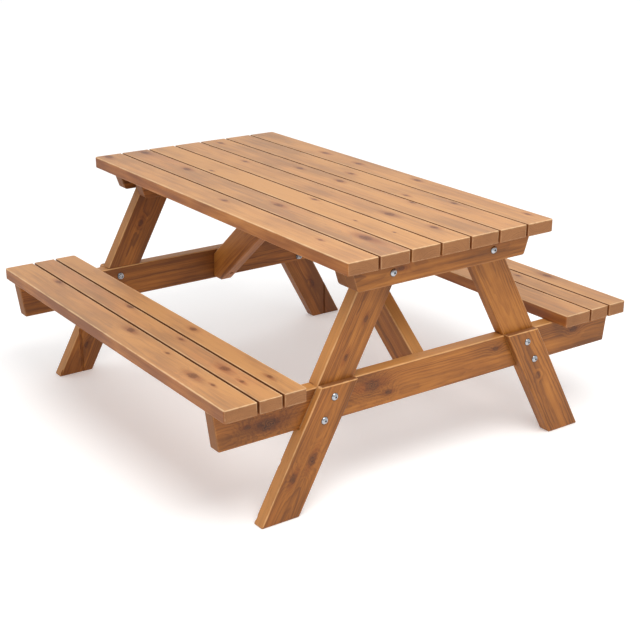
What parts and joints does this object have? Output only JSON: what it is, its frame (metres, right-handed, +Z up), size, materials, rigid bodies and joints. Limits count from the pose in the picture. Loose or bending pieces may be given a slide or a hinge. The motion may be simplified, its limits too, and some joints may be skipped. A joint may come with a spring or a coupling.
{
  "type": "picnic table",
  "caption": "A-frame picnic table: a slatted wooden tabletop joined by bolted end frames, seat bearers and diagonal braces to a fixed slatted bench on each side.",
  "frame": {"origin": "on the ground, under the middle of the tabletop", "axes": "+X along the planks towards the front end, +Y across the table towards the right bench, +Z up"},
  "size_m": [1.5, 1.482, 0.74],
  "materials": {
    "plank_wood": "stained softwood planks, honey brown, knotty, eased edges",
    "frame_wood": "stained softwood boards, warm brown, knotty, a little darker than the planks",
    "bright_steel": "bright zinc plated steel",
    "screw_steel": "dull plated steel"
  },
  "bodies": {
    "root": {"top_plank_1": "plank_wood", "top_plank_2": "plank_wood", "top_plank_3": "plank_wood", "top_plank_4": "plank_wood", "top_plank_5": "plank_wood", "top_plank_6": "plank_wood", "top_plank_7": "plank_wood", "left_seat_outer_plank": "plank_wood", "left_seat_middle_plank": "plank_wood", "left_seat_inner_plank": "plank_wood", "right_seat_inner_plank": "plank_wood", "right_seat_middle_plank": "plank_wood", "right_seat_outer_plank": "plank_wood", "front_top_bearer": "frame_wood", "back_top_bearer": "frame_wood", "front_inner_cleat": "frame_wood", "back_inner_cleat": "frame_wood", "front_seat_bearer": "frame_wood", "back_seat_bearer": "frame_wood", "front_left_strut": "frame_wood", "front_right_strut": "frame_wood", "back_left_strut": "frame_wood", "back_right_strut": "frame_wood", "front_left_leg": "frame_wood", "front_right_leg": "frame_wood", "back_left_leg": "frame_wood", "back_right_leg": "frame_wood", "centre_batten": "frame_wood", "front_brace": "frame_wood", "back_brace": "frame_wood", "front_brace_block": "frame_wood", "back_brace_block": "frame_wood", "seat_joint_bolts": "bright_steel", "seat_joint_washers": "bright_steel", "seat_joint_nuts": "bright_steel", "top_joint_bolts": "bright_steel", "top_joint_washers": "bright_steel", "top_joint_nuts": "bright_steel", "tabletop_screws": "screw_steel", "bench_screws": "screw_steel", "brace_screws": "screw_steel"}
  },
  "joints": []
}
